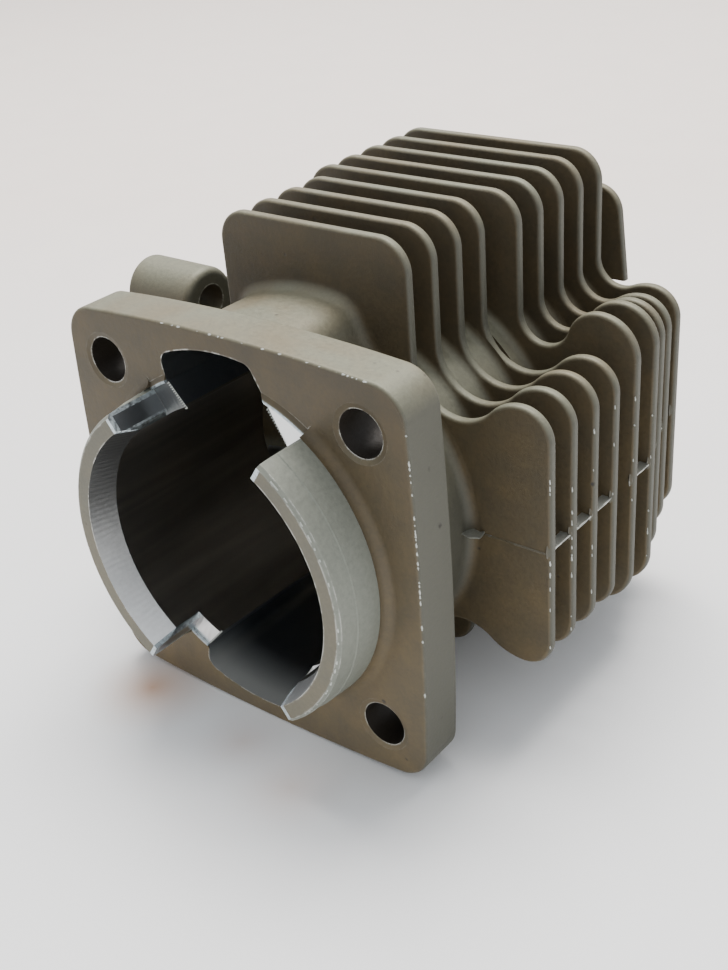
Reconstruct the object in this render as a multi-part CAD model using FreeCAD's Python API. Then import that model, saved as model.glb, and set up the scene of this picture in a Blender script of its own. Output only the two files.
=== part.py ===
import FreeCAD, Part
import math
import os

os.makedirs("parts", exist_ok=True)

# Air-cooled two-stroke cylinder with its head cast in one, lying on its side.
# Frame: X to the side away from the exhaust, Y along the bore from the gasket face
# towards the head, Z up. The origin is on the bore axis at the gasket face.

# ---- driving dimensions, in millimetres ----
bore_r = 20.0
plating_t = 0.25
core_r = 24.5
deck_y = 56.0

flange_t = 7.2
flange_half_x = 28.9
flange_half_z = 29.1
flange_bulge_x = 0.9
flange_bulge_z = 1.3
flange_corner_r = 5.0
flange_edge_r = 0.45
bolt_spacing = 44.3
bolt_hole_r = 3.3
bolt_chamfer_r = 4.1
bolt_chamfer_depth = 0.25

skirt_length = 8.8
skirt_tip_r = 23.75
skirt_tip_bevel = 0.45
skirt_step_y = 5.44
skirt_step = 0.12
skirt_half_angle = 55.9
skirt_end_bevel = 0.6
skirt_fillet = 1.4
lead_in_depth = 4.07
lead_in_r = 21.16
bead_inner_r = 23.95
bead_outer_r = 25.0
bead_height = 0.45

duct_left_x = -11.3
duct_knee = (-10.6, 21.7)
duct_foot_x = -4.6
duct_right_x = 8.2
duct_lean = 3.2
duct_foot_z = 15.0
duct_outer_r = 27.8
duct_corner_r = 1.8
duct_wall = 1.8
duct_wall_corner_r = 4.5
duct_taper = 1.2
duct_side_fillet = 2.0
duct_top_y = 33.6
port_top_y = 29.0
port_band = (26.2, 37.4)

fin_first_y = 18.78
fin_pitch = 5.604
fin_t = 1.5
fin_count = 9
fin_rim_r = 0.5
fin_root_r = 1.3
neck_root_r = 1.7
flange_root_r = 2.2
top_z = 39.1
bottom_z = 30.4
top_corner_r = 4.7
lower_group = 4

exhaust_y = 25.6
port_y = 33.1
port_x = -15.0
exhaust_half_y = 5.3
exhaust_half_z = 8.6
exhaust_corner_r = 2.5
exhaust_wall = 2.55
exhaust_face_x = -40.0
exhaust_plate_t = 4.0
exhaust_plate_half_y = 9.5
exhaust_plate_half_z = 14.0
exhaust_plate_corner_r = 4.0
lug_z = 20.8
lug_r = 5.2
lug_hole_r = 2.6
lug_inner_x = -27.0
lug_rim_r = 1.2
lug_fillet = 0.6

head_top_y = 66.0
shoulder_top_y = 70.0
slot_half_z = 17.3
dome_rim_r = 14.0
dome_height = 7.5
plug_hole_r = 6.4
plug_boss_r = 11.5
plug_seat_y = 71.2
last_fin_half_x = 20.4
last_fin_top_half_x = 18.8
last_fin_top_z = 32.2
last_fin_corner_r = 4.5

overlap = 0.3
reach = 60.0
y_axis = FreeCAD.Vector(0, 1, 0)


def at(x, z, y=0.0):
    return FreeCAD.Vector(x, y, z)


def line(a, b):
    return Part.LineSegment(a, b).toShape()


def arc(centre, r, start_deg, end_deg, y=0.0):
    # An arc in the XZ plane, its angle counted from +X towards +Z.
    points = []
    for deg in (start_deg, (start_deg + end_deg) / 2, end_deg):
        a = math.radians(deg)
        points.append(at(centre[0] + r * math.cos(a), centre[1] + r * math.sin(a), y))
    return Part.Arc(points[0], points[1], points[2]).toShape()


def prism(edges, y_from, y_to):
    wire = Part.Wire(Part.sortEdges(edges)[0])
    solid = Part.Face(wire).extrude(y_axis * (y_to - y_from))
    solid.translate(y_axis * y_from)
    return solid


def rod(r, y_from, y_to, x=0.0, z=0.0):
    return Part.makeCylinder(r, y_to - y_from, at(x, z, y_from), y_axis)


def spun(points):
    # A ring turned about the bore axis from (radius, y) points.
    corners = [FreeCAD.Vector(r, y, 0) for r, y in points]
    face = Part.Face(Part.makePolygon(corners + [corners[0]]))
    return face.revolve(FreeCAD.Vector(0, 0, 0), y_axis, 360)


def collar(r, y, fillet, side):
    # A concave fillet ring round radius r that runs onto the plane at y.
    # side is +1 where the ring stands on the +Y side of the plane, -1 on the other.
    inner = r - overlap
    far = y + side * fillet
    low = FreeCAD.Vector(r, far, 0)
    out = FreeCAD.Vector(r + fillet, y, 0)
    bend = FreeCAD.Vector(r + fillet * (1 - math.sqrt(0.5)), y + side * fillet * (1 - math.sqrt(0.5)), 0)
    edges = [
        line(FreeCAD.Vector(inner, y, 0), out),
        Part.Arc(out, bend, low).toShape(),
        line(low, FreeCAD.Vector(inner, far, 0)),
        line(FreeCAD.Vector(inner, far, 0), FreeCAD.Vector(inner, y, 0)),
    ]
    face = Part.Face(Part.Wire(Part.sortEdges(edges)[0]))
    return face.revolve(FreeCAD.Vector(0, 0, 0), y_axis, 360)


def wedge(centre_deg, half_deg, y_from, y_to):
    # A sector about the bore axis, used to keep or cut a stretch of ring.
    tips = []
    for step in (-1, -0.5, 0, 0.5, 1):
        a = math.radians(centre_deg + step * half_deg)
        tips.append(at(reach * math.cos(a), reach * math.sin(a)))
    corners = [at(0, 0)] + tips + [at(0, 0)]
    face = Part.Face(Part.makePolygon(corners))
    solid = face.extrude(y_axis * (y_to - y_from))
    solid.translate(y_axis * y_from)
    return solid


def rim_edges(solid, y_planes, least_r=0.0):
    # The edges that lie in one of the given Y planes, at least least_r from the bore axis.
    found = []
    for edge in solid.Edges:
        box = edge.BoundBox
        centre = edge.CenterOfMass
        if box.YLength > 0.001 or math.hypot(centre.x, centre.z) < least_r:
            continue
        if min(abs(box.YMin - y) for y in y_planes) < 0.001:
            found.append(edge)
    return found


def save(shape, name):
    shape = shape.removeSplitter()
    shape.exportStep("parts/" + name + ".step")
    print(name, len(shape.Solids), "solid(s)", round(shape.Volume), "mm3", shape.isValid())


# ---- transfer ducts, open to the bore along their length ----
def duct_section(grow, kneed, corner_r, sign, y):
    # A duct's cross-section: two side walls and an outer wall round the bore axis.
    # The inside is kneed: its left wall turns towards the bore at the ledge.
    r = duct_outer_r + grow
    left_x = duct_left_x - grow
    right_top = duct_right_x - duct_lean + grow
    right_low = duct_right_x + duct_lean + grow
    top_left = at(left_x, sign * math.sqrt(r * r - left_x * left_x))
    top_mid = at(-3.0, sign * math.sqrt(r * r - 9.0))
    top_right = at(right_top, sign * math.sqrt(r * r - right_top * right_top))
    end = at(right_low, sign * duct_foot_z)
    if kneed:
        start = at(duct_foot_x - grow, sign * duct_foot_z)
        knee = at(duct_knee[0] - grow, sign * duct_knee[1])
        left_wall = [line(start, knee), line(knee, top_left)]
    else:
        start = at(left_x, sign * duct_foot_z)
        left_wall = [line(start, top_left)]
    slab = prism(left_wall + [
        Part.Arc(top_left, top_mid, top_right).toShape(),
        line(top_right, end),
        line(end, start),
    ], y, y + 1)
    upright = []
    for edge in slab.Edges:
        centre = edge.CenterOfMass
        if edge.BoundBox.YLength > 0.5 and math.hypot(centre.x, centre.z) > duct_outer_r - 2:
            upright.append(edge)
    slab = slab.makeFillet(corner_r, upright)
    return [f for f in slab.Faces if f.BoundBox.YMax < y + 0.001][0].OuterWire


duct_space = {}
neck = rod(core_r, 0, deck_y)
for name, sign in (("upper", 1), ("lower", -1)):
    mouth = duct_section(0.0, True, duct_corner_r, sign, -1.0)
    port = duct_section(-duct_taper, True, duct_corner_r, sign, port_top_y)
    duct_space[name] = Part.makeLoft([mouth, port], True, True)
    outside = Part.Face(duct_section(duct_wall, False, duct_wall_corner_r, sign, flange_t))
    neck = neck.fuse(outside.extrude(y_axis * (duct_top_y - flange_t)))
neck = neck.removeSplitter()
side_lines = []
for edge in neck.Edges:
    centre = edge.CenterOfMass
    along = edge.BoundBox.YLength > 5 and edge.BoundBox.XLength < 0.01
    if along and abs(centre.x) > 1 and abs(math.hypot(centre.x, centre.z) - core_r) < 0.05:
        side_lines.append(edge)
neck = neck.makeFillet(duct_side_fillet, side_lines)


# ---- exhaust port: a window in the bore and a duct that slopes down to its flange ----
def frame_wire(x, y_mid, y_half, z_half, corner):
    # A rounded rectangle in the plane at x.
    block = Part.makeBox(1, 2 * y_half, 2 * z_half, FreeCAD.Vector(x, y_mid - y_half, -z_half))
    block = block.makeFillet(corner, [e for e in block.Edges if e.BoundBox.XLength > 0.5])
    return [f for f in block.Faces if f.BoundBox.XMax < x + 0.001][0].OuterWire


def exhaust_loft(grow):
    # The sloping passage, or with grow above zero its outside.
    corner = exhaust_corner_r + grow / 2
    y_half = exhaust_half_y + grow
    z_half = exhaust_half_z + grow
    outer = frame_wire(exhaust_face_x - 1, exhaust_y, y_half, z_half, corner)
    window = frame_wire(port_x, port_y, y_half, z_half, corner)
    return Part.makeLoft([outer, window], True, True)


def lug_rod(r, x_from, x_to, sign):
    start = FreeCAD.Vector(x_from, exhaust_y, sign * lug_z)
    return Part.makeCylinder(r, x_to - x_from, start, FreeCAD.Vector(1, 0, 0))


exhaust_space = exhaust_loft(0)
exhaust_body = exhaust_loft(exhaust_wall)
plate_inner_x = exhaust_face_x + exhaust_plate_t
core_rod = rod(core_r, -1, shoulder_top_y + 1)

plate_wire = frame_wire(
    exhaust_face_x, exhaust_y, exhaust_plate_half_y, exhaust_plate_half_z, exhaust_plate_corner_r)
flange_plate = Part.Face(plate_wire).extrude(FreeCAD.Vector(exhaust_plate_t, 0, 0))
for sign in (1, -1):
    web = Part.makeBox(
        exhaust_plate_t, 2 * lug_r, lug_z,
        FreeCAD.Vector(exhaust_face_x, exhaust_y - lug_r, 0 if sign > 0 else -lug_z),
    )
    flange_plate = flange_plate.fuse(web)
flange_plate = flange_plate.removeSplitter()
outer_rim = [e for e in flange_plate.Edges if e.BoundBox.XLength < 0.001]
flange_plate = flange_plate.makeFillet(lug_fillet, outer_rim)

lug_solids = []
for sign in (1, -1):
    solid = lug_rod(lug_r, exhaust_face_x, lug_inner_x, sign)
    flange_plate = flange_plate.cut(solid)
    near_rim = [e for e in solid.Edges if abs(e.CenterOfMass.x - lug_inner_x) < 0.001]
    far_rim = [e for e in solid.Edges if abs(e.CenterOfMass.x - exhaust_face_x) < 0.001]
    solid = solid.makeFillet(lug_rim_r, near_rim)
    solid = solid.makeFillet(lug_fillet, far_rim)
    lug_solids.append(solid.cut(lug_rod(lug_hole_r, exhaust_face_x - 1, lug_inner_x + 1, sign)))
exhaust_flange = flange_plate.cut(exhaust_space)
exhaust_lugs = Part.makeCompound(lug_solids)
behind_plate = Part.makeBox(2 * reach, 2 * reach, 2 * reach, FreeCAD.Vector(plate_inner_x, -reach, -reach))
exhaust_duct = exhaust_body.common(behind_plate).cut(exhaust_space).cut(core_rod)
save(exhaust_flange, "exhaust_flange")
save(exhaust_lugs, "exhaust_screw_lugs")
save(exhaust_duct, "exhaust_duct")


# ---- the ring that the skirts are cut from, with its lead-in chamfer ----
lead_in_slope = (lead_in_r - bore_r) / lead_in_depth
lead_in = spun([
    (0, -skirt_length - 1), (lead_in_r + lead_in_slope, -skirt_length - 1),
    (bore_r, lead_in_depth - skirt_length), (0, lead_in_depth - skirt_length),
])
step_r = skirt_tip_r + (core_r - skirt_step - skirt_tip_r) * (1 - skirt_step_y / skirt_length)
skirt_ring = spun([
    (bore_r + plating_t, -skirt_length), (skirt_tip_r - skirt_tip_bevel, -skirt_length),
    (skirt_tip_r, -skirt_length + skirt_tip_bevel), (step_r, -skirt_step_y - skirt_step),
    (step_r + skirt_step, -skirt_step_y), (core_r, 0), (bore_r + plating_t, 0),
]).cut(lead_in)


# ---- base flange, with the skirts' root fillets and the beads between the skirts ----
def flange_outline():
    # Four gently bulged sides that meet at sharp corners.
    x = flange_half_x
    z = flange_half_z
    edges = []
    for sign in (1, -1):
        long_side = (at(-x, sign * z), at(0, sign * (z + flange_bulge_z)), at(x, sign * z))
        short_side = (at(sign * x, -z), at(sign * (x + flange_bulge_x), 0), at(sign * x, z))
        edges.append(Part.Arc(*long_side).toShape())
        edges.append(Part.Arc(*short_side).toShape())
    return edges


flange = prism(flange_outline(), 0, flange_t)
flange = flange.makeFillet(flange_corner_r, [e for e in flange.Edges if e.BoundBox.YLength > 1])
flange = flange.makeFillet(flange_edge_r, rim_edges(flange, (0, flange_t)))
flange = flange.fuse(collar(core_r, flange_t, flange_root_r, 1))
flange = flange.cut(rod(core_r, -1, flange_t + 10)).cut(neck)
windows = wedge(90, 90 - skirt_half_angle, -skirt_length - 1, 0)
windows = windows.fuse(wedge(270, 90 - skirt_half_angle, -skirt_length - 1, 0))
bead = spun([
    (bead_inner_r, 0), (bead_inner_r, -bead_height), (bead_inner_r + 0.25, -bead_height),
    (bead_outer_r, 0),
])
flange = flange.fuse(bead.common(windows))
skirt_roots = collar(core_r, 0, skirt_fillet, -1).cut(windows).cut(skirt_ring)
flange = flange.fuse(skirt_roots)
for space in duct_space.values():
    flange = flange.cut(space)
for sign_x in (1, -1):
    for sign_z in (1, -1):
        x = sign_x * bolt_spacing / 2
        z = sign_z * bolt_spacing / 2
        mouth = Part.makeCone(bolt_chamfer_r, bolt_hole_r, bolt_chamfer_depth, at(x, z), y_axis)
        flange = flange.cut(rod(bolt_hole_r, -1, flange_t + 1, x, z)).cut(mouth)
save(flange, "base_flange")

# ---- skirts that enter the crankcase ----
def end_bevel(r, deg):
    # A square bar along Y whose corner bevels a skirt's end at radius r.
    a = math.radians(deg)
    corners = []
    for turn in (0, 90, 180, 270, 360):
        b = math.radians(deg + turn)
        corners.append(at(
            r * math.cos(a) + skirt_end_bevel * math.cos(b),
            r * math.sin(a) + skirt_end_bevel * math.sin(b),
        ))
    bar = Part.Face(Part.makePolygon(corners)).extrude(y_axis * (skirt_length + 1))
    bar.translate(y_axis * (-skirt_length - 1))
    return bar


skirt_cut = windows
for deg in (skirt_half_angle, 180 - skirt_half_angle, 180 + skirt_half_angle, -skirt_half_angle):
    skirt_cut = skirt_cut.fuse(end_bevel(bore_r, deg)).fuse(end_bevel(core_r, deg))
for name, centre in (("right_skirt", 0), ("left_skirt", 180)):
    stretch = wedge(centre, skirt_half_angle, -skirt_length - 1, 0)
    save(skirt_ring.common(stretch).cut(skirt_cut), name)

# ---- hard-plated bore surface and the barrel wall round it ----
def opened(shape):
    # Cuts the ducts and the exhaust port out of a wall of the bore.
    shape = shape.cut(exhaust_space)
    for space in duct_space.values():
        shape = shape.cut(space)
    return shape


plating = rod(bore_r + plating_t, -skirt_length, deck_y).cut(rod(bore_r, -skirt_length - 1, deck_y + 1))
plating = plating.cut(lead_in).cut(skirt_cut)
save(opened(plating), "bore_plating")

barrel = opened(rod(core_r, 0, deck_y).cut(rod(bore_r + plating_t, -1, deck_y + 1)))
below_ports = barrel.cut(rod(reach, port_band[0], deck_y + 1))
for name, x_from in (("left_barrel_wall", -reach), ("right_barrel_wall", 0)):
    side = Part.makeBox(reach, reach, 2 * reach, FreeCAD.Vector(x_from, 0, -reach))
    save(below_ports.common(side), name)
save(barrel.common(rod(reach, port_band[0], port_band[1])), "port_wall")
save(barrel.cut(rod(reach, -1, port_band[1])), "barrel_wall")

for name, sign in (("upper", 1), ("lower", -1)):
    half_space = Part.makeBox(2 * reach, reach, reach, at(-reach, 0 if sign > 0 else -reach, flange_t))
    save(neck.common(half_space).cut(core_rod).cut(duct_space[name]), name + "_transfer_duct")


# ---- cooling fins ----
def fin_sizes(number):
    # The lobes' sizes on a fin: the lower ones leave room above the base screws.
    if number <= lower_group:
        return {"half": 16.2, "scallop_top": 16.0, "scallop_low": 16.0, "scallop_r": 6.8,
                "side_x": 37.1, "side_top": 20.2, "side_low": 19.3, "side_r": 4.6}
    side_x = {5: 37.2, 6: 37.1, 7: 35.2, 8: 33.5, 9: 32.2}[number]
    side_top = {5: 24.1, 6: 23.8, 7: 22.0, 8: 20.4, 9: 19.8}[number]
    side_low = {5: 21.8, 6: 21.6, 7: 20.2, 8: 18.8, 9: 18.3}[number]
    scallop = 17.6 + 0.22 * (number - lower_group)
    side_r = {5: 6.1, 6: 5.6, 7: 5.1, 8: 4.7, 9: 4.7}[number]
    return {"half": 18.6, "scallop_top": scallop, "scallop_low": scallop - 1.2, "scallop_r": 4.0,
            "side_x": side_x, "side_top": side_top, "side_low": side_low, "side_r": side_r}


def quarter(size, sign_x, sign_z):
    # One quarter of a fin's edge, from the middle of its top or bottom to its side.
    height = top_z if sign_z > 0 else bottom_z
    peak = size["side_top"] if sign_z > 0 else size["side_low"]
    scallop = size["scallop_top"] if sign_z > 0 else size["scallop_low"]
    half = size["half"]
    r1 = size["scallop_r"]
    r3 = size["side_r"]
    hollow = (half + r1, scallop + r1)
    peak_x = size["side_x"] - r3
    across = peak_x - hollow[0]
    rise = hollow[1] - peak
    r2 = (across ** 2 + rise ** 2 - r1 ** 2) / (2 * (r1 - rise))
    crown = (peak_x, peak - r2)
    meet_deg = math.degrees(math.atan2(crown[1] - hollow[1], crown[0] - hollow[0]))
    corner = (half - top_corner_r, height - top_corner_r)
    shoulder = (peak_x, peak - r3)
    edges = [
        line(at(0, height), at(corner[0], height)),
        arc(corner, top_corner_r, 90, 0),
        line(at(half, corner[1]), at(half, hollow[1])),
        arc(hollow, r1, -180, meet_deg),
        arc(crown, r2, meet_deg + 180, 90),
        arc(shoulder, r3, 90, 0),
        line(at(size["side_x"], shoulder[1]), at(size["side_x"], 0)),
    ]
    flip = FreeCAD.Matrix(sign_x, 0, 0, 0, 0, 1, 0, 0, 0, 0, sign_z, 0, 0, 0, 0, 1)
    return [edge.transformGeometry(flip) for edge in edges]


def fin_plate(edges, y):
    solid = prism(edges, y, y + fin_t)
    return solid.makeFillet(fin_rim_r, rim_edges(solid, (y, y + fin_t)))


def root_edges(shape, y):
    # The edges where a fin's face at y meets the neck.
    found = []
    for edge in rim_edges(shape, (y,)):
        if max(math.hypot(v.X, v.Z) for v in edge.Vertexes) < duct_outer_r + duct_wall + 1:
            found.append(edge)
    return found


def cleared(shape):
    # A fin stops at the barrel, the ducts and the exhaust port's walls.
    shape = shape.cut(core_rod)
    for solid in (neck, exhaust_body, flange_plate):
        shape = shape.cut(solid)
    for sign in (1, -1):
        shape = shape.cut(lug_rod(lug_r, exhaust_face_x - 1, lug_inner_x, sign))
    return shape


for number in range(1, fin_count + 1):
    size = fin_sizes(number)
    y = fin_first_y + (number - 1) * fin_pitch
    outline = []
    for sign_x in (1, -1):
        for sign_z in (1, -1):
            outline += quarter(size, sign_x, sign_z)
    fin = fin_plate(outline, y)
    front_root = neck_root_r if number == 1 else fin_root_r
    if y < duct_top_y:
        fin = neck.fuse(fin).removeSplitter()
        fin = fin.makeFillet(front_root, root_edges(fin, y))
        fin = fin.makeFillet(fin_root_r, root_edges(fin, y + fin_t))
    else:
        fin = fin.fuse(collar(core_r, y, front_root, -1))
        fin = fin.fuse(collar(core_r, y + fin_t, fin_root_r, 1))
    fin = cleared(fin)
    biggest = sorted(fin.Solids, key=lambda s: -s.Volume)
    keep = [s for s in biggest if s.Volume > 20]
    save(Part.makeCompound(keep), "fin_%02d" % number)

# ---- head: squish band, dome, shoulders and the last, slotted fin ----
dome_r = (dome_rim_r ** 2 + dome_height ** 2) / (2 * dome_height)
dome_ball = Part.makeSphere(dome_r, at(0, 0, deck_y + dome_height - dome_r))
head = rod(core_r, deck_y, shoulder_top_y)
top_rim = [e for e in head.Edges if abs(e.CenterOfMass.y - shoulder_top_y) < 0.001]
head = head.makeFillet(1.5, top_rim)
slot = Part.makeBox(2 * reach, 10, 2 * slot_half_z, FreeCAD.Vector(-reach, head_top_y, -slot_half_z))
head = head.cut(slot).cut(dome_ball).cut(rod(plug_hole_r, deck_y, shoulder_top_y))
save(head, "combustion_head")

boss = rod(plug_boss_r, head_top_y, plug_seat_y)
boss = boss.makeChamfer(0.6, [e for e in boss.Edges if abs(e.CenterOfMass.y - plug_seat_y) < 0.001])
save(boss.cut(rod(plug_hole_r, head_top_y - 1, plug_seat_y + 1)), "spark_plug_boss")

last_y = fin_first_y + fin_count * fin_pitch
corners = []
for sign_x, sign_z in ((1, 1), (-1, 1), (-1, -1), (1, -1)):
    wide = at(sign_x * last_fin_half_x, sign_z * slot_half_z)
    end = at(sign_x * last_fin_top_half_x, last_fin_top_z if sign_z > 0 else -bottom_z)
    corners += [wide, end] if sign_x * sign_z > 0 else [end, wide]
sides = [line(corners[i], corners[(i + 1) % len(corners)]) for i in range(len(corners))]
last_fin = prism(sides, last_y, last_y + fin_t)
round_corners = []
for edge in last_fin.Edges:
    if edge.BoundBox.YLength > 1 and abs(edge.CenterOfMass.z) > slot_half_z + 1:
        round_corners.append(edge)
last_fin = last_fin.makeFillet(last_fin_corner_r, round_corners)
last_fin = last_fin.makeFillet(fin_rim_r, rim_edges(last_fin, (last_y, last_y + fin_t)))
last_fin = last_fin.cut(slot.fuse(slot.translated(FreeCAD.Vector(0, -5, 0)))).cut(core_rod)
save(last_fin, "fin_10")
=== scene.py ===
import math
import random
import bpy
from mathutils import Vector, Matrix


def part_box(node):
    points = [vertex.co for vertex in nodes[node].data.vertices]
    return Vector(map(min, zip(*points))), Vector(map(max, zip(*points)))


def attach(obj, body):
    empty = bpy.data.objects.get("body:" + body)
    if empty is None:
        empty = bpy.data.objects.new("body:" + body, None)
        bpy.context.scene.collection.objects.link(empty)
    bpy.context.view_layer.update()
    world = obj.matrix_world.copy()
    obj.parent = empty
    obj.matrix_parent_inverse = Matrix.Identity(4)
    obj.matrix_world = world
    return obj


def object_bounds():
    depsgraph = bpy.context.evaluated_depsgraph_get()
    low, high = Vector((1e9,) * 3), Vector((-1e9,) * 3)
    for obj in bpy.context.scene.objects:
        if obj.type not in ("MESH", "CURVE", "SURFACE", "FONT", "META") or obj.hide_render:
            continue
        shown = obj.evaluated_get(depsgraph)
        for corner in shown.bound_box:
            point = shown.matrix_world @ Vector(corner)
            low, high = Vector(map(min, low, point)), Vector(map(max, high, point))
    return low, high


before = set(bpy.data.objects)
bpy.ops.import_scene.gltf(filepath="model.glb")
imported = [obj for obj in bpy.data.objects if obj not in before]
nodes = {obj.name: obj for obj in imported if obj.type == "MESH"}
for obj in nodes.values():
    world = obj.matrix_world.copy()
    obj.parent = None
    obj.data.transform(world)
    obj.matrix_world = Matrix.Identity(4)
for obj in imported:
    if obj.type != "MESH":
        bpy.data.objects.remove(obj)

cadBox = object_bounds()
mm = 0.001

# camera: where it stands, and its right and up directions
cameraSet = {
    "place": (110.863 * mm, -104.754 * mm, 93.063 * mm),
    "right": (0.78711, 0.61257, -0.07220),
    "up": (-0.25408, 0.42866, 0.86700),
    "lens": 48.27,
    "sensor": 36,
}


def addCamera():
    data = bpy.data.cameras.new("camera")
    data.lens = cameraSet["lens"]
    data.sensor_width = cameraSet["sensor"]
    data.clip_start = 5 * mm
    camera = bpy.data.objects.new("camera", data)
    bpy.context.scene.collection.objects.link(camera)
    right = Vector(cameraSet["right"]).normalized()
    up = Vector(cameraSet["up"]).normalized()
    back = right.cross(up).normalized()
    up = back.cross(right)
    turn = Matrix((right, up, back)).transposed().to_4x4()
    camera.matrix_world = Matrix.Translation(Vector(cameraSet["place"])) @ turn
    bpy.context.scene.camera = camera


addCamera()
print("camera set")


# node helpers: an input may be a number, a colour or another node's socket
def feed(tree, socket, value):
    if isinstance(value, bpy.types.NodeSocket):
        tree.links.new(value, socket)
    else:
        socket.default_value = value


def addNode(tree, kind, **values):
    node = tree.nodes.new(kind)
    for key, value in values.items():
        feed(tree, node.inputs[key.replace("_", " ")], value)
    return node


def calc(tree, operation, *values):
    node = tree.nodes.new("ShaderNodeMath")
    node.operation = operation
    for index, value in enumerate(values):
        feed(tree, node.inputs[index], value)
    return node.outputs[0]


def blend(tree, factor, first, second):
    node = tree.nodes.new("ShaderNodeMix")
    node.data_type = "RGBA"
    feed(tree, node.inputs[0], factor)
    feed(tree, node.inputs[6], first)
    feed(tree, node.inputs[7], second)
    return node.outputs[2]


def ramp(tree, value, low, high, start=0.0, end=1.0):
    # a clamped straight ramp from start at low to end at high
    node = addNode(tree, "ShaderNodeMapRange", Value=value)
    for key, number in zip(("From Min", "From Max", "To Min", "To Max"), (low, high, start, end)):
        node.inputs[key].default_value = number
    return node.outputs[0]


def newGroup(name, inputs, outputs):
    group = bpy.data.node_groups.new(name, "ShaderNodeTree")
    for label, value in inputs.items():
        socket = group.interface.new_socket(label, in_out="INPUT", socket_type="NodeSocketFloat")
        socket.default_value = value
    for label in outputs:
        kind = "NodeSocketVector" if label == "Place" else "NodeSocketFloat"
        group.interface.new_socket(label, in_out="OUTPUT", socket_type=kind)
    source = group.nodes.new("NodeGroupInput")
    target = group.nodes.new("NodeGroupOutput")
    return group, source, target


def useGroup(tree, group, **values):
    node = tree.nodes.new("ShaderNodeGroup")
    node.node_tree = group
    for key, value in values.items():
        feed(tree, node.inputs[key], value)
    return node.outputs


# where a point is, in millimetres, and how it lies to the bore axis
def makeWhereGroup():
    labels = ("Place", "X", "Y", "Z", "Radius", "Angle", "Outward", "Along")
    group, source, target = newGroup("where", {}, labels)
    place = group.nodes.new("ShaderNodeTexCoord").outputs["Object"]
    scaled = group.nodes.new("ShaderNodeVectorMath")
    scaled.operation = "SCALE"
    scaled.inputs["Scale"].default_value = 1000
    group.links.new(place, scaled.inputs[0])
    group.links.new(scaled.outputs[0], target.inputs["Place"])
    parts = addNode(group, "ShaderNodeSeparateXYZ", Vector=scaled.outputs[0]).outputs
    normal = group.nodes.new("ShaderNodeNewGeometry").outputs["Normal"]
    turned = addNode(group, "ShaderNodeSeparateXYZ", Vector=normal).outputs
    squares = [calc(group, "MULTIPLY", part, part) for part in (parts["X"], parts["Z"])]
    radius = calc(group, "SQRT", calc(group, "ADD", squares[0], squares[1]))
    across = calc(group, "MULTIPLY", parts["X"], turned["X"])
    along = calc(group, "MULTIPLY", parts["Z"], turned["Z"])
    outward = calc(group, "DIVIDE", calc(group, "ADD", across, along), radius)
    for label in ("X", "Y", "Z"):
        group.links.new(parts[label], target.inputs[label])
    group.links.new(radius, target.inputs["Radius"])
    group.links.new(calc(group, "ARCTAN2", parts["Z"], parts["X"]), target.inputs["Angle"])
    group.links.new(outward, target.inputs["Outward"])
    group.links.new(calc(group, "ABSOLUTE", turned["Y"]), target.inputs["Along"])
    return group


whereGroup = makeWhereGroup()


# bright wear on sharp outer edges, broken up by noise
def makeWearGroup():
    group, source, target = newGroup(
        "edgeWear", {"Radius": 0.0004, "Amount": 0.5, "Scale": 0.5}, ("Mask", "Soft"))
    rounded = group.nodes.new("ShaderNodeBevel")
    rounded.samples = 6
    group.links.new(source.outputs["Radius"], rounded.inputs["Radius"])
    normal = group.nodes.new("ShaderNodeNewGeometry").outputs["Normal"]
    dot = group.nodes.new("ShaderNodeVectorMath")
    dot.operation = "DOT_PRODUCT"
    group.links.new(rounded.outputs[0], dot.inputs[0])
    group.links.new(normal, dot.inputs[1])
    edge = ramp(group, calc(group, "SUBTRACT", 1.0, dot.outputs["Value"]), 0.012, 0.09)
    place = useGroup(group, whereGroup)["Place"]
    noise = addNode(group, "ShaderNodeTexNoise", Vector=place, Scale=source.outputs["Scale"])
    noise.inputs["Detail"].default_value = 6
    noise.inputs["Roughness"].default_value = 0.7
    limit = calc(group, "SUBTRACT", 1.0, source.outputs["Amount"])
    broken = calc(group, "MULTIPLY", calc(group, "SUBTRACT", noise.outputs[0], limit), 14.0)
    broken = ramp(group, broken, 0.0, 1.0)
    group.links.new(calc(group, "MULTIPLY", edge, broken), target.inputs["Mask"])
    group.links.new(edge, target.inputs["Soft"])
    return group


wearGroup = makeWearGroup()


# the skin of a die casting: fine grain, blotches, rare pits
def makeCastSkinGroup():
    group, source, target = newGroup(
        "castSkin", {"Grain": 1.6, "Blotch": 0.16, "Pits": 0.3}, ("Grain", "Blotch", "Stain", "Pits"))
    place = useGroup(group, whereGroup)["Place"]
    found = {}
    for label, detail, rough in (("Grain", 5, 0.65), ("Blotch", 6, 0.62)):
        noise = addNode(group, "ShaderNodeTexNoise", Vector=place, Scale=source.outputs[label])
        noise.inputs["Detail"].default_value = detail
        noise.inputs["Roughness"].default_value = rough
        found[label] = noise.outputs[0]
    stain = addNode(group, "ShaderNodeTexNoise", Vector=place, Scale=0.07)
    stain.inputs["Detail"].default_value = 3
    stain.inputs["Distortion"].default_value = 0.6
    cells = addNode(group, "ShaderNodeTexVoronoi", Vector=place, Scale=source.outputs["Pits"])
    pitted = ramp(group, cells.outputs["Distance"], 0.05, 0.13, 1.0, 0.0)
    rare = ramp(group, found["Blotch"], 0.55, 0.62)
    group.links.new(found["Grain"], target.inputs["Grain"])
    group.links.new(ramp(group, found["Blotch"], 0.36, 0.66), target.inputs["Blotch"])
    group.links.new(ramp(group, stain.outputs[0], 0.40, 0.62), target.inputs["Stain"])
    group.links.new(calc(group, "MULTIPLY", pitted, rare), target.inputs["Pits"])
    return group


castSkinGroup = makeCastSkinGroup()


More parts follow.
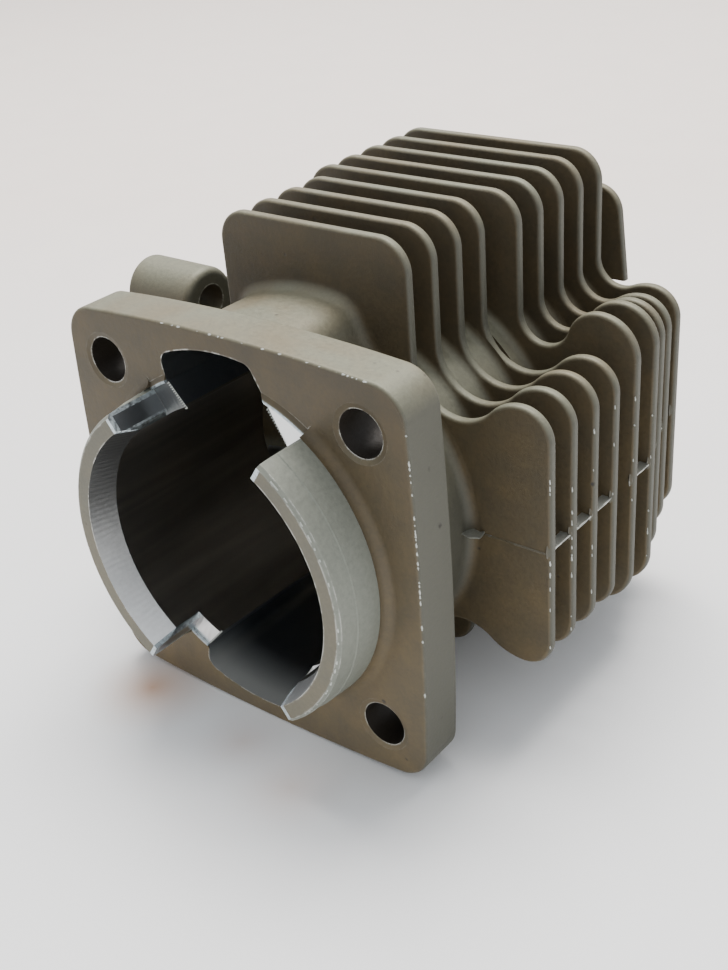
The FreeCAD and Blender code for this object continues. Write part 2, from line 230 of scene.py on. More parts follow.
# which part of the surface looks up and which looks along the bore; the masks place painted light: a
# painted highlight on tops, painted shade on base-facing and +X faces
def makeLightFacingGroup():
    group, source, target = newGroup("lightFacing", {}, ("Up", "Base", "Side"))
    normal = group.nodes.new("ShaderNodeNewGeometry").outputs["Normal"]
    parts = addNode(group, "ShaderNodeSeparateXYZ", Vector=normal).outputs
    group.links.new(ramp(group, parts["Z"], 0.15, 0.85), target.inputs["Up"])
    towardsBase = calc(group, "MULTIPLY", parts["Y"], -1.0)
    group.links.new(ramp(group, towardsBase, 0.3, 0.9), target.inputs["Base"])
    group.links.new(ramp(group, parts["X"], 0.35, 0.9), target.inputs["Side"])
    return group


lightFacingGroup = makeLightFacingGroup()

# stretches round the bore that are machined, plated, sheltered or worn, in millimetres;
# flat and inward are limits on how far a surface turns to the bore axis or away from it
# some stretches carry painted light: painted shade on screw-hole walls and the root collar, painted
# highlights at the duct mouth and facet rim
zoneSet = {
    "flat": 0.6,
    "inward": 0.42,
    "gasketGap": 0.02,
    "belowGasket": -0.01,
    "ledgeDepth": 0.03,
    "leadInSlack": 0.07,
    "screwDepth": 7.1,
    "rootRadius": 24.45,
    "rootFrom": -1.7,
    "tipShare": 0.35,
    "boreRadius": 20.0,
    "leadInTop": -4.73,
    "leadInSlope": 0.285,
    "skirtEndDeg": 55.9,
    "facetDepth": 0.62,
    "facetRadius": 24.3,
    "facetRim": (20.9, 23.3, -8.0),
    "ledgeRadius": 23.94,
    "ductRadius": 27.95,
    "screwPlace": 22.15,
    "screwRadius": 4.3,
    "wornSkirt": -7.6,
    "tipFace": -8.7,
    "neckFrom": 7.3,
    "neckRadius": 31.5,
    # where the painted highlight at the lower duct mouth lies
    "mouthZ": (-21.5, -26.0),
    "mouthY": (9.0, 2.0),
}


def product(tree, *masks):
    whole = masks[0]
    for mask in masks[1:]:
        whole = calc(tree, "MULTIPLY", whole, mask)
    return whole


def makeZoneGroup():
    labels = (
        "LeadIn", "Facet", "FacetRim", "Ledge", "Plated",
        "Screw", "Root", "Sheltered", "Skirt", "DuctMouth")
    group, source, target = newGroup("boreZones", {}, labels)
    where = useGroup(group, whereGroup)
    y = where["Y"]
    radius = where["Radius"]

    def less(value, limit):
        return calc(group, "LESS_THAN", value, limit)

    def more(value, limit):
        return calc(group, "GREATER_THAN", value, limit)

    depth = calc(group, "SUBTRACT", zoneSet["leadInTop"], y)
    coneFoot = zoneSet["boreRadius"] + zoneSet["leadInSlack"]
    cone = calc(group, "MULTIPLY_ADD", depth, zoneSet["leadInSlope"], coneFoot)
    leadIn = product(group, less(radius, cone), more(depth, 0.0), less(where["Along"], zoneSet["flat"]))
    slope = math.radians(zoneSet["skirtEndDeg"])
    absX = calc(group, "ABSOLUTE", where["X"])
    absZ = calc(group, "ABSOLUTE", where["Z"])
    across = calc(group, "MULTIPLY", absX, math.sin(slope))
    fromEnd = calc(group, "SUBTRACT", across, calc(group, "MULTIPLY", absZ, math.cos(slope)))
    facet = product(
        group, less(fromEnd, zoneSet["facetDepth"]), less(y, -zoneSet["gasketGap"]),
        less(radius, zoneSet["facetRadius"]), less(where["Outward"], zoneSet["flat"]))
    inner, outer, tip = zoneSet["facetRim"]
    rim = calc(group, "MAXIMUM", less(radius, inner), more(radius, outer))
    rim = calc(group, "MAXIMUM", rim, less(y, tip))
    ledge = product(
        group, less(calc(group, "ABSOLUTE", y), zoneSet["ledgeDepth"]),
        less(radius, zoneSet["ledgeRadius"]), more(where["Along"], zoneSet["flat"]))
    plated = product(
        group, less(where["Outward"], zoneSet["inward"]), less(where["Along"], zoneSet["flat"]),
        less(radius, zoneSet["ductRadius"]), more(y, zoneSet["gasketGap"]))
    fromScrew = [calc(group, "SUBTRACT", side, zoneSet["screwPlace"]) for side in (absX, absZ)]
    squares = [calc(group, "MULTIPLY", side, side) for side in fromScrew]
    screw = product(
        group, less(calc(group, "ADD", *squares), zoneSet["screwRadius"] ** 2),
        more(y, zoneSet["gasketGap"]), less(y, zoneSet["screwDepth"]),
        less(where["Along"], zoneSet["flat"]))
    belowGasket = less(y, zoneSet["belowGasket"])
    root = product(group, more(radius, zoneSet["rootRadius"]), more(y, zoneSet["rootFrom"]), belowGasket)
    sheltered = product(group, more(y, zoneSet["wornSkirt"]), belowGasket)
    sheltered = calc(group, "MAXIMUM", sheltered, screw)
    neck = product(group, more(y, zoneSet["neckFrom"]), less(radius, zoneSet["neckRadius"]))
    sheltered = calc(group, "MAXIMUM", sheltered, neck)
    skirt = product(group, less(y, -zoneSet["gasketGap"]), more(where["Outward"], zoneSet["flat"]))
    tipFace = product(group, less(y, zoneSet["tipFace"]), more(where["Along"], zoneSet["flat"]))
    skirt = calc(group, "MAXIMUM", skirt, calc(group, "MULTIPLY", tipFace, zoneSet["tipShare"]))
    # painted highlight zone at the lower mouth of the duct
    mouthLow = ramp(group, where["Z"], *zoneSet["mouthZ"])
    mouth = product(group, plated, mouthLow, ramp(group, y, *zoneSet["mouthY"]))
    found = (
        leadIn, facet, product(group, rim, facet), ledge, plated,
        screw, root, sheltered, skirt, mouth)
    for label, mask in zip(labels, found):
        group.links.new(mask, target.inputs[label])
    return group


zoneGroup = makeZoneGroup()


# cutter marks that run across a machined ring, and faint streaks along the bore
def makeCutterGroup():
    group, source, target = newGroup("cutterMarks", {"Count": 150.0}, ("Chatter", "Streak"))
    where = useGroup(group, whereGroup)
    wobble = addNode(group, "ShaderNodeTexNoise", Vector=where["Place"], Scale=0.3)
    turn = calc(group, "MULTIPLY_ADD", wobble.outputs[0], 0.02, where["Angle"])
    wave = calc(group, "SINE", calc(group, "MULTIPLY", turn, source.outputs["Count"]))
    group.links.new(ramp(group, wave, -1.0, 1.0), target.inputs["Chatter"])
    flat = group.nodes.new("ShaderNodeCombineXYZ")
    group.links.new(calc(group, "MULTIPLY", where["Angle"], 3.0), flat.inputs["X"])
    group.links.new(calc(group, "MULTIPLY", where["Y"], 0.012), flat.inputs["Y"])
    streak = addNode(group, "ShaderNodeTexNoise", Vector=flat.outputs[0], Scale=3.0)
    streak.inputs["Detail"].default_value = 2
    streak.inputs["Roughness"].default_value = 0.5
    group.links.new(streak.outputs[0], target.inputs["Streak"])
    return group


cutterGroup = makeCutterGroup()
print("node groups made")


def newMaterial(name):
    material = bpy.data.materials.new(name)
    material.use_nodes = True
    tree = material.node_tree
    tree.nodes.clear()
    output = tree.nodes.new("ShaderNodeOutputMaterial")
    shader = tree.nodes.new("ShaderNodeBsdfPrincipled")
    tree.links.new(shader.outputs["BSDF"], output.inputs["Surface"])
    return material, tree, shader


def addBump(tree, shader, height, strength, distance):
    bump = addNode(tree, "ShaderNodeBump", Height=height, Strength=strength, Distance=distance)
    tree.links.new(bump.outputs[0], shader.inputs["Normal"])


# how the casting's tones vary: ramps as from, to, start and end, and plain amounts
toneSet = {
    # painted shade on base faces towards the top, painted bounce light on them low down
    "paintedShadeByHeight": (-22.0, 30.0, 1.15, 0.58),
    "speckle": (0.3, 0.7, 0.86, 1.14),
    "castRough": (0.3, 0.7, 0.50, 0.64),
    "metallic": (0.0, 1.0, 0.22, 1.0),
    "paler": 0.12,
    "machinedRough": 0.38,
    "platedRough": 0.30,
    "mouthRough": 0.2,
    "rimRough": 0.2,
    "mouthDulling": 0.45,
    "pitDepth": -1.2,
    "chatterDepth": 0.35,
}
castSet = {
    # painted shade, warm brown, for faces turned to the base
    "baseFaceShaded": (0.140, 0.104, 0.053, 1),
    "baseFaceShadedDark": (0.104, 0.083, 0.049, 1),
    "other": (0.118, 0.102, 0.070, 1),
    "otherDark": (0.080, 0.070, 0.050, 1),
    # painted highlight for up faces, the second one with a real stain on it
    "upFaceLit": (0.182, 0.180, 0.128, 1),
    "upFaceLitStain": (0.178, 0.154, 0.098, 1),
    # painted shade for +X faces
    "sideFaceShaded": (0.080, 0.078, 0.058, 1),
    "skirtSkin": (0.205, 0.215, 0.180, 1),
    "worn": (0.60, 0.60, 0.56, 1),
    "pit": (0.035, 0.030, 0.024, 1),
    # painted shade for the walls of the screw holes
    "screwHoleShade": (0.022, 0.017, 0.012, 1),
    # painted reflection on machined rings: a shaded copy and a lit copy of one finish
    "machinedShaded": (0.20, 0.20, 0.195, 1),
    "machined": (0.88, 0.89, 0.89, 1),
    "chrome": (0.30, 0.32, 0.34, 1),
    # painted highlight at the lower duct mouth
    "ductMouthHighlight": (0.46, 0.47, 0.45, 1),
    # painted reflection, pale and bluish, on the rim of the plated facet
    "chromeRimReflection": (0.55, 0.62, 0.64, 1),
}


def machinedPaintedSheen(tree, grain):
    # painted reflection: brighter towards the bottom and on the +X side, duller towards the top
    place = useGroup(tree, whereGroup)
    paintedSheen = ramp(tree, calc(tree, "MULTIPLY_ADD", grain, 6.0, place["Z"]), 8.0, -14.0)
    paintedSheen = calc(tree, "MAXIMUM", paintedSheen, ramp(tree, place["X"], 2.0, 8.0, 0.0, 0.75))
    return blend(tree, paintedSheen, castSet["machinedShaded"], castSet["machined"])


def castMetalMaterial(name, wearAmount):
    material, tree, shader = newMaterial(name)
    skin = useGroup(tree, castSkinGroup)
    lightFacing = useGroup(tree, lightFacingGroup)
    zones = useGroup(tree, zoneGroup)
    marks = useGroup(tree, cutterGroup)
    wear = useGroup(tree, wearGroup, Amount=wearAmount)
    bareEdge = calc(tree, "SUBTRACT", 1.0, zones["Sheltered"])
    worn = calc(tree, "MULTIPLY", wear["Mask"], bareEdge)
    paler = product(tree, wear["Soft"], bareEdge, toneSet["paler"])
    colour = blend(tree, skin["Blotch"], castSet["otherDark"], castSet["other"])
    shadedFace = blend(tree, skin["Blotch"], castSet["baseFaceShadedDark"], castSet["baseFaceShaded"])
    place = useGroup(tree, whereGroup)
    # painted shade: base faces darker towards the top, with painted bounce light making them lighter low
    # down
    heightShade = tree.nodes.new("ShaderNodeVectorMath")
    heightShade.operation = "SCALE"
    tree.links.new(shadedFace, heightShade.inputs[0])
    tree.links.new(ramp(tree, place["Z"], *toneSet["paintedShadeByHeight"]), heightShade.inputs["Scale"])
    shadedFace = heightShade.outputs[0]
    # painted shade on base faces and +X faces, painted highlight on tops
    colour = blend(tree, lightFacing["Base"], colour, shadedFace)
    colour = blend(tree, lightFacing["Side"], colour, castSet["sideFaceShaded"])
    litTop = blend(tree, skin["Stain"], castSet["upFaceLit"], castSet["upFaceLitStain"])
    colour = blend(tree, lightFacing["Up"], colour, litTop)
    colour = blend(tree, zones["Skirt"], colour, castSet["skirtSkin"])
    # the skirt root collar takes the same painted shade as the base faces
    colour = blend(tree, zones["Root"], colour, shadedFace)
    # painted shade: near-black on the screw-hole walls
    colour = blend(tree, zones["Screw"], colour, castSet["screwHoleShade"])
    speckle = ramp(tree, skin["Grain"], *toneSet["speckle"])
    shade = tree.nodes.new("ShaderNodeVectorMath")
    shade.operation = "SCALE"
    tree.links.new(colour, shade.inputs[0])
    tree.links.new(speckle, shade.inputs["Scale"])
    colour = blend(tree, skin["Pits"], shade.outputs[0], castSet["pit"])
    colour = blend(tree, paler, colour, castSet["worn"])
    colour = blend(tree, worn, colour, castSet["worn"])
    machined = calc(tree, "MAXIMUM", zones["LeadIn"], zones["Ledge"])
    # machined rings, with a painted reflection brighter low down
    colour = blend(tree, machined, colour, machinedPaintedSheen(tree, skin["Grain"]))
    plated = calc(tree, "MAXIMUM", zones["Plated"], zones["Facet"])
    colour = blend(tree, plated, colour, castSet["chrome"])
    # painted highlight at the lower duct mouth
    colour = blend(tree, zones["DuctMouth"], colour, castSet["ductMouthHighlight"])
    # painted reflection on the facet rim
    rim = product(tree, zones["FacetRim"], ramp(tree, skin["Grain"], 0.36, 0.56))
    colour = blend(tree, rim, colour, castSet["chromeRimReflection"])
    tree.links.new(colour, shader.inputs["Base Color"])
    bare = calc(tree, "MAXIMUM", calc(tree, "MAXIMUM", machined, plated), worn)
    dulled = calc(tree, "MULTIPLY", zones["DuctMouth"], toneSet["mouthDulling"])
    bare = calc(tree, "SUBTRACT", bare, dulled)
    tree.links.new(ramp(tree, bare, *toneSet["metallic"]), shader.inputs["Metallic"])
    rough = ramp(tree, skin["Grain"], *toneSet["castRough"])
    smooth = calc(tree, "SUBTRACT", 1.0, calc(tree, "MAXIMUM", machined, plated))
    rough = calc(tree, "MULTIPLY", rough, smooth)
    rough = calc(tree, "MULTIPLY_ADD", machined, toneSet["machinedRough"], rough)
    rough = calc(tree, "MULTIPLY_ADD", plated, toneSet["platedRough"], rough)
    rough = calc(tree, "MULTIPLY_ADD", zones["DuctMouth"], toneSet["mouthRough"], rough)
    rough = calc(tree, "MULTIPLY_ADD", rim, toneSet["rimRough"], rough)
    tree.links.new(rough, shader.inputs["Roughness"])
    chatter = calc(tree, "MULTIPLY", marks["Chatter"], machined)
    height = calc(tree, "MULTIPLY", skin["Grain"], smooth)
    pitted = calc(tree, "MULTIPLY", skin["Pits"], smooth)
    height = calc(tree, "MULTIPLY_ADD", pitted, toneSet["pitDepth"], height)
    height = calc(tree, "MULTIPLY_ADD", chatter, toneSet["chatterDepth"], height)
    addBump(tree, shader, height, 0.5, 0.12 * mm)
    return material


def boreChromeMaterial():
    material, tree, shader = newMaterial("boreChrome")
    zones = useGroup(tree, zoneGroup)
    marks = useGroup(tree, cutterGroup)
    skin = useGroup(tree, castSkinGroup)
    machined = calc(tree, "MAXIMUM", zones["LeadIn"], zones["Ledge"])
    streak = ramp(tree, marks["Streak"], 0.2, 0.8)
    chrome = blend(tree, streak, (0.31, 0.295, 0.27, 1), (0.45, 0.425, 0.385, 1))
    # machined rings, with a painted reflection brighter low down
    colour = blend(tree, machined, chrome, machinedPaintedSheen(tree, skin["Grain"]))
    # painted reflection on the facet rim
    colour = blend(tree, zones["FacetRim"], colour, castSet["chromeRimReflection"])
    tree.links.new(colour, shader.inputs["Base Color"])
    shader.inputs["Metallic"].default_value = 1
    rough = ramp(tree, streak, 0.0, 1.0, 0.28, 0.34)
    tree.links.new(calc(tree, "MULTIPLY_ADD", machined, 0.08, rough), shader.inputs["Roughness"])
    height = calc(tree, "MULTIPLY", marks["Chatter"], machined)
    addBump(tree, shader, height, 0.3, 0.05 * mm)
    return material


def brightMetalMaterial():
    # freshly torn or knocked metal on flash and nicks
    material, tree, shader = newMaterial("brightMetal")
    skin = useGroup(tree, castSkinGroup, Grain=3.0)
    colour = blend(tree, skin["Grain"], (0.32, 0.33, 0.29, 1), (0.66, 0.68, 0.64, 1))
    tree.links.new(colour, shader.inputs["Base Color"])
    shader.inputs["Metallic"].default_value = 0.8
    tree.links.new(ramp(tree, skin["Grain"], 0.3, 0.7, 0.3, 0.5), shader.inputs["Roughness"])
    addBump(tree, shader, skin["Grain"], 0.4, 0.05 * mm)
    return material


castMetal = castMetalMaterial("castMetal", 0.53)
finMetal = castMetalMaterial("finMetal", 0.46)
seamMetal = castMetalMaterial("seamMetal", 0.0)
boreChrome = boreChromeMaterial()
brightMetal = brightMetalMaterial()


def dress(name, material):
    for slot in nodes[name].material_slots:
        slot.material = material


for name in nodes:
    if name == "bore_plating":
        dress(name, boreChrome)
    elif name.startswith("fin_"):
        dress(name, finMetal)
    else:
        dress(name, castMetal)
print("castings dressed")


def deselectAll():
    if bpy.context.object and bpy.context.object.mode != "OBJECT":
        bpy.ops.object.mode_set(mode="OBJECT")
    bpy.ops.object.select_all(action="DESELECT")


def finishPiece(piece, name, material):
    deselectAll()
    piece.select_set(True)
    bpy.context.view_layer.objects.active = piece
    bpy.ops.object.transform_apply(location=True, rotation=True, scale=True)
    piece.name = name
    piece.data.name = name
    piece.data.materials.clear()
    piece.data.materials.append(material)
    bpy.ops.object.shade_smooth_by_angle(angle=math.radians(40))
    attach(piece, "root")
    print(name, len(piece.data.polygons), "faces")


def joinAll(pieces):
    deselectAll()
    for piece in pieces:
        piece.select_set(True)
    bpy.context.view_layer.objects.active = pieces[0]
    if len(pieces) > 1:
        bpy.ops.object.join()
    return bpy.context.view_layer.objects.active


def copyOf(piece, place, turn, stretch):
    twin = piece.copy()
    twin.data = piece.data.copy()
    bpy.context.scene.collection.objects.link(twin)
    twin.matrix_world = Matrix.LocRotScale(Vector(place), turn, Vector(stretch))
    return twin


def faceOut():
    bpy.ops.mesh.select_all(action="SELECT")
    bpy.ops.mesh.normals_make_consistent(inside=False)


# measures of the casting that its finer pieces follow
finSet = {
    "first": 18.78,
    "pitch": 5.604,
    "thickness": 1.5,
}
flangeSet = {
    "halfX": 28.9 * mm,
    "halfZ": 29.1 * mm,
    "bulgeX": 0.9 * mm,
    "bulgeZ": 1.3 * mm,
}


def finFace(number):
    # how far up the bore a fin's near face is, in millimetres
    return finSet["first"] + (number - 1) * finSet["pitch"]


# thin flash left between neighbouring fins where the die halves met
webSet = {
    "height": -0.15 * mm,
    "thickness": 0.24 * mm,
    "depth": 1.5 * mm,
    "inset": 0.3 * mm,
    "sink": 0.15 * mm,
    "rough": 0.09 * mm,
    "right": (1, 2, 3, 5, 7),
    "left": (4, 6),
}


def flashWeb(number, side):
    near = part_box("fin_%02d" % number)
    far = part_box("fin_%02d" % (number + 1))
    step = far[1][1] - near[1][1]
    middle = (near[0][1] + near[1][1] + far[0][1] + far[1][1]) / 4
    reach = min(near[1][0], far[1][0]) - webSet["inset"] - webSet["depth"] / 2
    gap = step - finSet["thickness"] * mm + 2 * webSet["sink"]
    bpy.ops.mesh.primitive_cube_add(size=1, location=(side * reach, middle, webSet["height"]))
    web = bpy.context.active_object
    web.scale = (webSet["depth"], gap, webSet["thickness"])
    bpy.ops.object.transform_apply(location=False, rotation=False, scale=True)
    bpy.ops.object.mode_set(mode="EDIT")
    bpy.ops.mesh.select_all(action="SELECT")
    bpy.ops.mesh.subdivide(number_cuts=4)
    bpy.ops.transform.vertex_random(offset=webSet["rough"], seed=number * 7 + 3)
    bpy.ops.object.mode_set(mode="OBJECT")
    return web


def addFlashWebs():
    webs = []
    for side, numbers in ((1, webSet["right"]), (-1, webSet["left"])):
        for number in numbers:
            deselectAll()
            webs.append(flashWeb(number, side))
    finishPiece(joinAll(webs), "finFlash", brightMetal)


addFlashWebs()

# a torn tongue of flash at the root of the first fin
tongueSet = {
    "place": (25.4 * mm, 17.6 * mm, -0.1 * mm),
    "size": (3.6 * mm, 1.9 * mm),
    "thickness": 0.2 * mm,
    "turn": math.radians(12),
    "rough": 0.42 * mm,
}


def addTornFlash():
    deselectAll()
    bpy.ops.mesh.primitive_grid_add(
        x_subdivisions=5, y_subdivisions=3, size=1, location=tongueSet["place"])
    tongue = bpy.context.active_object
    tongue.scale = (tongueSet["size"][0], tongueSet["size"][1], 1)
    tongue.rotation_euler = (0, 0, tongueSet["turn"])
    bpy.ops.object.transform_apply(location=False, rotation=True, scale=True)
    bpy.ops.object.mode_set(mode="EDIT")
    bpy.ops.mesh.select_all(action="SELECT")
    bpy.ops.transform.vertex_random(offset=tongueSet["rough"], seed=11)
    bpy.ops.transform.resize(value=(1, 1, 0.25))
    bpy.ops.mesh.extrude_region_move(TRANSFORM_OT_translate={"value": (0, 0, tongueSet["thickness"])})
    faceOut()
    bpy.ops.object.mode_set(mode="OBJECT")
    finishPiece(tongue, "tornFlash", brightMetal)


addTornFlash()

# the parting line of the die across the first fin, and the small swelling of each rim on it
seamSet = {
    "z": -0.3 * mm,
    "radius": 0.16 * mm,
    "from": 26.2 * mm,
    "inset": 0.7 * mm,
    "rough": 0.03 * mm,
    "bumpSize": (0.55 * mm, 1.0 * mm, 1.7 * mm),
    "bumpRough": 0.02 * mm,
}


def addPartingSeam():
    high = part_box("fin_01")[1]
    neckFace = finSet["first"] * mm
    beads = []
    for side in (1, -1):
        deselectAll()
        length = high[0] - seamSet["inset"] - seamSet["from"]
        place = (side * (seamSet["from"] + length / 2), neckFace, seamSet["z"])
        bpy.ops.mesh.primitive_cylinder_add(
            vertices=8, radius=seamSet["radius"], depth=length, location=place,
            rotation=(0, math.radians(90), 0))
        bead = bpy.context.active_object
        bpy.ops.object.transform_apply(location=False, rotation=True, scale=False)
        bpy.ops.object.mode_set(mode="EDIT")
        bpy.ops.mesh.select_all(action="SELECT")
        bpy.ops.mesh.bisect(plane_co=place, plane_no=(1, 0, 0))
        bpy.ops.mesh.select_all(action="SELECT")
        bpy.ops.mesh.subdivide(number_cuts=6)
        bpy.ops.transform.vertex_random(offset=seamSet["rough"], seed=5)
        bpy.ops.object.mode_set(mode="OBJECT")
        beads.append(bead)
    finishPiece(joinAll(beads), "partingSeam", seamMetal)


addPartingSeam()


def addRimBumps():
    bumps = []
    halfX, halfY, halfZ = seamSet["bumpSize"]
    for number in range(1, 10):
        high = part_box("fin_%02d" % number)[1]
        y = (finFace(number) + finSet["thickness"] / 2) * mm
        for side in (1, -1):
            if side < 0 and number < 5:
                continue  # the exhaust flange stands in front of these
            deselectAll()
            x = side * (high[0] - halfX)
            bpy.ops.mesh.primitive_uv_sphere_add(segments=8, ring_count=6, radius=1, location=(x, y, 0))
            bump = bpy.context.active_object
            bump.scale = (halfX, halfY, halfZ)
            bpy.ops.object.transform_apply(location=False, rotation=False, scale=True)
            bpy.ops.object.mode_set(mode="EDIT")
            bpy.ops.mesh.select_all(action="SELECT")
            bpy.ops.transform.vertex_random(offset=seamSet["bumpRough"], seed=number)
            bpy.ops.object.mode_set(mode="OBJECT")
            bumps.append(bump)
    finishPiece(joinAll(bumps), "rimBumps", finMetal)


addRimBumps()

# bright nicks along the edges, one shape copied with its length and width changed;
# counts first, then where each row runs and how deep it sits
nickSet = {
    "seed": 4,
    "size": 0.26 * mm,
    "flangeTop": 34,
    "flangeSide": 30,
    "skirtTip": 26,
    "finRim": 42,
    "topRun": (-22, 26.5, 24),
    "topDepth": 0.16 * mm,
    "topSink": 0.22 * mm,
    "sideRun": (-24, 24.5, 20),
    "sideDepth": 0.15 * mm,
    "sideSink": 0.2 * mm,
    "tipDeg": (-48, 53),
    "tipPlace": (23.4 * mm, -8.62 * mm),
    "finNumbers": (1, 1, 2, 2, 3, 4, 5, 6),
    "finRun": (-17, 14),
    "finDepth": 0.12,
    "finSink": 0.2 * mm,
    "rough": 0.08 * mm,
    "flatten": (1, 0.55, 0.6),
    "length": (0.5, 1.7),
    "width": (0.45, 0.95),
}


def makeNick():
    deselectAll()
    bpy.ops.mesh.primitive_ico_sphere_add(subdivisions=2, radius=nickSet["size"])
    nick = bpy.context.active_object
    bpy.ops.object.mode_set(mode="EDIT")
    bpy.ops.mesh.select_all(action="SELECT")
    bpy.ops.transform.vertex_random(offset=nickSet["rough"], seed=2)
    bpy.ops.transform.resize(value=nickSet["flatten"])
    bpy.ops.object.mode_set(mode="OBJECT")
    return nick


def nickPlaces():
    # each: where its middle is, and the direction that the edge runs in
    dice = random.Random(nickSet["seed"])
    places = []
    for index in range(nickSet["flangeTop"]):
        x = dice.triangular(*nickSet["topRun"]) * mm
        bulge = flangeSet["bulgeZ"] * (1 - (x / flangeSet["halfX"]) ** 2)
        z = flangeSet["halfZ"] + bulge - nickSet["topSink"]
        places.append(((x, nickSet["topDepth"], z), (1, 0, 0)))
    for index in range(nickSet["flangeSide"]):
        z = dice.triangular(*nickSet["sideRun"]) * mm
        bulge = flangeSet["bulgeX"] * (1 - (z / flangeSet["halfZ"]) ** 2)
        x = flangeSet["halfX"] + bulge - nickSet["sideSink"]
        places.append(((x, nickSet["sideDepth"], z), (0, 0, 1)))
    for index in range(nickSet["skirtTip"]):
        turn = math.radians(dice.uniform(*nickSet["tipDeg"]))
        r, y = nickSet["tipPlace"]
        place = (r * math.cos(turn), y, r * math.sin(turn))
        places.append((place, (-math.sin(turn), 0, math.cos(turn))))
    for index in range(nickSet["finRim"]):
        number = dice.choice(nickSet["finNumbers"])
        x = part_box("fin_%02d" % number)[1][0] - nickSet["finSink"]
        y = (finFace(number) + nickSet["finDepth"]) * mm
        places.append(((x, y, dice.uniform(*nickSet["finRun"]) * mm), (0, 0, 1)))
    return places


def addNicks():
    model = makeNick()
    dice = random.Random(nickSet["seed"] + 1)
    copies = []
    for place, run in nickPlaces():
        turn = Vector(run).to_track_quat("X", "Z")
        length = dice.uniform(*nickSet["length"])
        width = dice.uniform(*nickSet["width"])
        copies.append(copyOf(model, place, turn, (length, width, width)))
    bpy.data.objects.remove(model)
    finishPiece(joinAll(copies), "edgeNicks", brightMetal)


addNicks()

# teeth that the window cutter left on the ledges beside the skirts
toothSet = {
    "count": 13,
    "size": 0.26 * mm,
    "tip": 0.02 * mm,
    "height": 0.34 * mm,
    "bevel": 0.03 * mm,
    "runs": (((-10.5, 21.5), (-7.5, 18.2)), ((7.3, 22.0), (10.0, 17.7))),
}


def addTeeth():
    teeth = []
    for sign in (1, -1):
        for start, end in toothSet["runs"]:
            for index in range(toothSet["count"]):
                share = (index + 0.5) / toothSet["count"]
                x = (start[0] + (end[0] - start[0]) * share) * mm
                z = sign * (start[1] + (end[1] - start[1]) * share) * mm
                deselectAll()
                bpy.ops.mesh.primitive_cone_add(
                    vertices=4, radius1=toothSet["size"], radius2=toothSet["tip"], depth=toothSet["height"],
                    location=(x, 0.0, z), rotation=(math.radians(90), 0, 0))
                tooth = bpy.context.active_object
                bpy.ops.object.transform_apply(location=False, rotation=True, scale=False)
                bpy.ops.object.mode_set(mode="EDIT")
                bpy.ops.mesh.select_all(action="SELECT")
                bpy.ops.mesh.bevel(offset=toothSet["bevel"], segments=1)
                bpy.ops.object.mode_set(mode="OBJECT")
                teeth.append(tooth)
    finishPiece(joinAll(teeth), "ledgeTeeth", brightMetal)


addTeeth()

# the spark plug's thread, a helix of low ridges inside its hole
threadSet = {
    "radius": 6.42 * mm,
    "ridge": 0.42 * mm,
    "pitch": 1.25 * mm,
    "turns": 6,
    "from": 62.6 * mm,
    "steps": 40,
}


def addPlugThread():
    deselectAll()
    bpy.ops.mesh.primitive_circle_add(
        vertices=6, radius=threadSet["ridge"], fill_type="NOTHING",
        location=(threadSet["radius"], threadSet["from"], 0))
    thread = bpy.context.active_object
    bpy.ops.object.transform_apply(location=True, rotation=False, scale=False)
    bpy.ops.object.mode_set(mode="EDIT")
    bpy.ops.mesh.select_all(action="SELECT")
    bpy.ops.transform.resize(value=(0.7, 1, 1))
    bpy.ops.object.mode_set(mode="OBJECT")
    screw = thread.modifiers.new("helix", "SCREW")
    screw.axis = "Y"
    screw.screw_offset = threadSet["pitch"]
    screw.iterations = threadSet["turns"]
    screw.steps = threadSet["steps"]
    screw.render_steps = threadSet["steps"]
    bpy.ops.object.modifier_apply(modifier=screw.name)
    bpy.ops.object.mode_set(mode="EDIT")
    bpy.ops.mesh.select_all(action="SELECT")
    bpy.ops.mesh.remove_doubles(threshold=0.001 * mm)
    bpy.ops.mesh.select_all(action="DESELECT")
    bpy.ops.mesh.select_non_manifold()
    bpy.ops.mesh.edge_face_add()
    faceOut()
    bpy.ops.object.mode_set(mode="OBJECT")
    finishPiece(thread, "plugThread", castMetal)


addPlugThread()

# floor and light
floorSet = {
    "size": 4,
    "near": (0.925, 0.932, 0.935, 1),
    # painted warm light on the far paper
    "far": (0.925, 0.840, 0.775, 1),
    "turn": (0.02, 0.30),
    # painted warm contact shade and bounce light from the casting
    "paintedWarmShade": (0.56, 0.34, 0.23, 1),
    "paintedWarmShadePlaces": (
        ((-19.5 * mm, -5 * mm), 12 * mm, 0.95),
        ((13 * mm, -10 * mm), 10 * mm, 0.35),
        ((1 * mm, -6.5 * mm), 8 * mm, 0.3),
    ),
}


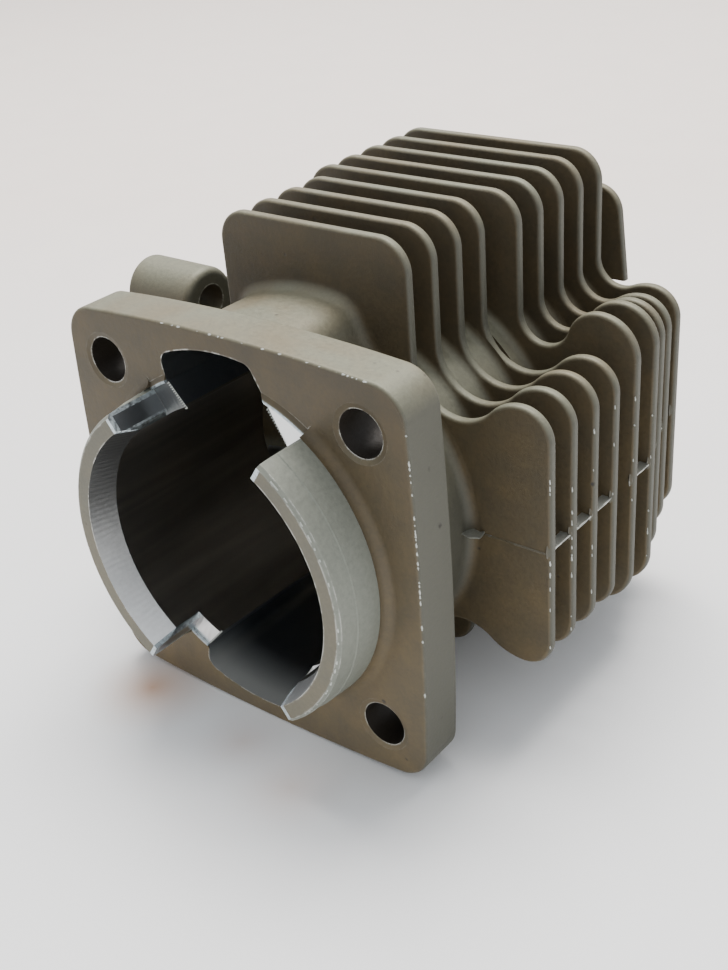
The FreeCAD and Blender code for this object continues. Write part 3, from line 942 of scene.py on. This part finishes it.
def addFloor():
    # pale paper, with painted warm light far away, and painted warm contact shade and bounce light where
    # the brown casting throws light on it
    deselectAll()
    bpy.ops.mesh.primitive_plane_add(size=floorSet["size"], location=(0, 0, cadBox[0][2]))
    floor = bpy.context.active_object
    floor.name = "floor"
    paper, tree, shader = newMaterial("paper")
    place = tree.nodes.new("ShaderNodeTexCoord").outputs["Object"]
    across = addNode(tree, "ShaderNodeSeparateXYZ", Vector=place).outputs
    share = calc(tree, "SUBTRACT", across["Y"], calc(tree, "MULTIPLY", across["X"], 0.6))
    tone = blend(tree, ramp(tree, share, *floorSet["turn"]), floorSet["near"], floorSet["far"])
    for (x, y), radius, strength in floorSet["paintedWarmShadePlaces"]:
        away = tree.nodes.new("ShaderNodeVectorMath")
        away.operation = "DISTANCE"
        tree.links.new(place, away.inputs[0])
        away.inputs[1].default_value = (x, y, 0)
        near = ramp(tree, away.outputs["Value"], 0.0, radius, 1.0, 0.0)
        paintedWarmShade = calc(tree, "MULTIPLY", calc(tree, "POWER", near, 1.5), strength)
        tone = blend(tree, paintedWarmShade, tone, floorSet["paintedWarmShade"])
    tree.links.new(tone, shader.inputs["Base Color"])
    noise = addNode(tree, "ShaderNodeTexNoise", Vector=place, Scale=60.0)
    tree.links.new(ramp(tree, noise.outputs[0], 0.3, 0.7, 0.5, 0.62), shader.inputs["Roughness"])
    floor.data.materials.append(paper)


addFloor()


def addLight(name, place, aim, size, power, colour):
    data = bpy.data.lights.new(name, "AREA")
    data.shape = "RECTANGLE"
    data.size, data.size_y = size
    data.energy = power
    data.color = colour
    light = bpy.data.objects.new(name, data)
    bpy.context.scene.collection.objects.link(light)
    light.location = place
    light.rotation_euler = (Vector(aim) - Vector(place)).to_track_quat("-Z", "Y").to_euler()


addLight("ceiling", (-0.16, 0.36, 0.95), (0, 0.02, 0), (0.8, 0.5), 20, (1, 0.965, 0.93))
world = bpy.data.worlds.new("room")
world.use_nodes = True
world.node_tree.nodes["Background"].inputs["Color"].default_value = (0.93, 0.96, 1.0, 1)
world.node_tree.nodes["Background"].inputs["Strength"].default_value = 1.0
bpy.context.scene.world = world
print("floor and light set")
